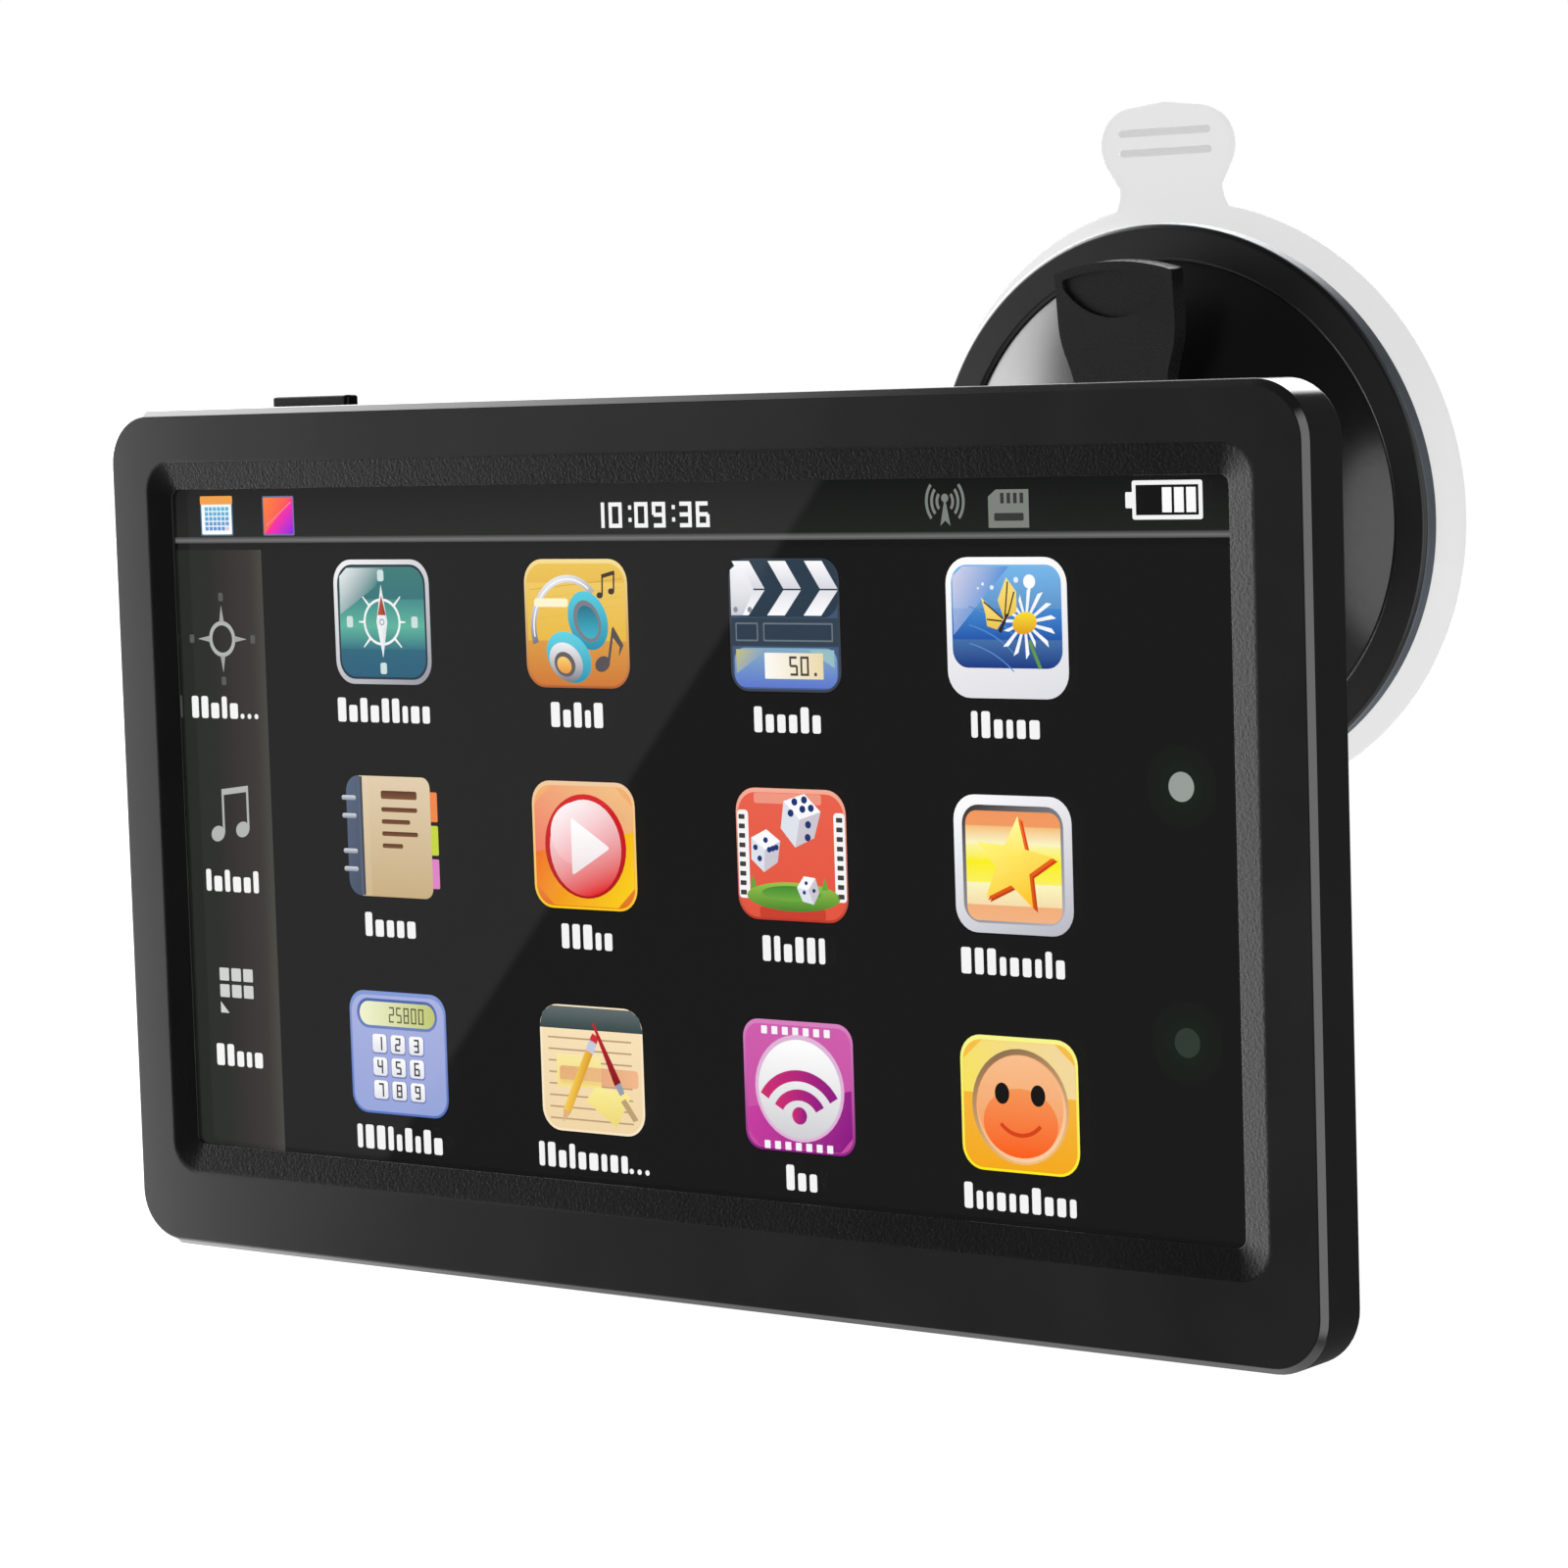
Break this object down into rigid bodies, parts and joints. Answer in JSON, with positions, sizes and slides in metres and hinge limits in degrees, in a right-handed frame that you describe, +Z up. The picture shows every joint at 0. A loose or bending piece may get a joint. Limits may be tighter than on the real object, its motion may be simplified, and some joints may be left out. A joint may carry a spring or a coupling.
{
  "type": "portable gps navigator",
  "caption": "Portable wide-screen navigator in a thin case, held by a cradle, ball joint and swing arm on a clear lever-lock windshield suction cup.",
  "frame": {"origin": "centre of the suction face", "axes": "+X to the right across the screen, +Y from the driver towards the windshield, +Z up; the screen is parallel to XZ, and the suction face leans up by 5.4 degrees and turns by 1.8 degrees"},
  "size_m": [0.184, 0.1316, 0.1497],
  "materials": {
    "case_black": "fine moulded texture",
    "bezel_black": "fine moulded texture, satin chamfer",
    "button_black": "satin",
    "cover_glass": "polished",
    "display": "polished",
    "white_plastic": "satin",
    "pressed_steel": "rolled",
    "board_green": "solder mask",
    "tinned_steel": "bright",
    "pouch_foil": "foil",
    "lead_red": "satin",
    "speaker_black": "satin",
    "ceramic": "fired ceramic",
    "jack_black": "satin",
    "card_black": "satin",
    "flex_amber": "film",
    "screw_steel": "blackened",
    "mount_black": "fine moulded texture",
    "liner_grey": "satin",
    "ball_black": "polished",
    "bolt_steel": "zinc plated",
    "dome_gloss": "satin gloss",
    "clear_pvc": "clear soft vinyl",
    "stem_white": "satin",
    "pin_steel": "ground"
  },
  "bodies": {
    "cup_base": {"dome_housing": "dome_gloss", "suction_disc": "clear_pvc", "arm_bolt": "bolt_steel"},
    "stem": {"pull_stem": "stem_white", "suction_core": "clear_pvc", "lever_pin": "pin_steel"},
    "lever": {"lock_lever": "mount_black"},
    "knob": {"arm_knob": "mount_black"},
    "arm": {"swing_arm": "mount_black", "ball_stud": "ball_black"},
    "inner_liner": {"friction_cup": "liner_grey"},
    "outer_liner": {"friction_ring": "liner_grey"},
    "cradle": {"cradle": "mount_black"},
    "collar": {"collar_nut": "mount_black"},
    "navigator": {"front_bezel": "bezel_black", "touch_panel": "cover_glass", "lcd_panel": "display", "backlight": "white_plastic", "lcd_frame": "pressed_steel", "main_board": "board_green", "cpu_shield": "tinned_steel", "battery": "pouch_foil", "battery_lead": "lead_red", "speaker": "speaker_black", "gps_antenna": "ceramic", "usb_socket": "tinned_steel", "card_socket": "tinned_steel", "audio_jack": "jack_black", "display_flex": "flex_amber", "power_switch": "tinned_steel", "rear_cover": "case_black", "case_screws": "screw_steel"},
    "power_button": {"power_button": "button_black"},
    "memory_card": {"memory_card": "card_black"}
  },
  "joints": [
    {"name": "stem_pull", "type": "slide", "parent": "cup_base", "child": "stem", "axis": [-0.0313, 0.9951, 0.0941], "range_m": [0, 0.003]},
    {"name": "lever_turn", "type": "hinge", "parent": "stem", "child": "lever", "pos_m": [0.00052, -0.01642, -0.00155], "axis": [0.9995, 0.0314, 0], "range_deg": [0, 70]},
    {"name": "arm_swing", "type": "hinge", "parent": "cup_base", "child": "arm", "pos_m": [0.00094, -0.02991, -0.01287], "axis": [0.9995, 0.0314, 0], "range_deg": [-25, 45]},
    {"name": "knob_turn", "type": "hinge", "parent": "cup_base", "child": "knob", "pos_m": [0.00094, -0.02991, -0.01287], "axis": [0.9995, 0.0314, 0], "range_deg": [0, 180]},
    {"name": "ball_pan", "type": "hinge", "parent": "arm", "child": "inner_liner", "pos_m": [0.0029, -0.0984, -0.0275], "axis": [0, 0, 1], "range_deg": [-16, 16]},
    {"name": "ball_tilt", "type": "hinge", "parent": "inner_liner", "child": "outer_liner", "pos_m": [0.0029, -0.0984, -0.0275], "axis": [1, 0, 0], "range_deg": [-14, 14]},
    {"name": "ball_roll", "type": "hinge", "parent": "outer_liner", "child": "cradle", "pos_m": [0.0029, -0.0984, -0.0275], "axis": [0, 1, 0], "range_deg": [-90, 90]},
    {"name": "collar_turn", "type": "hinge", "parent": "cradle", "child": "collar", "pos_m": [0.0029, -0.0984, -0.0275], "axis": [0, 1, 0], "range_deg": [0, 90]},
    {"name": "navigator_lift", "type": "slide", "parent": "cradle", "child": "navigator", "axis": [0, 0, 1], "range_m": [0, 0.009]},
    {"name": "power_press", "type": "slide", "parent": "navigator", "child": "power_button", "axis": [0, 0, -1], "range_m": [0, 0.0004], "stiffness_N_per_m": 800, "springref_m": -0.0008},
    {"name": "card_slide", "type": "slide", "parent": "navigator", "child": "memory_card", "axis": [-1, 0, 0], "range_m": [0, 0.012]}
  ],
  "couplings": [
    {"joint": "stem_pull", "follows": "lever_turn", "m_per_rad": 0.0024555}
  ]
}
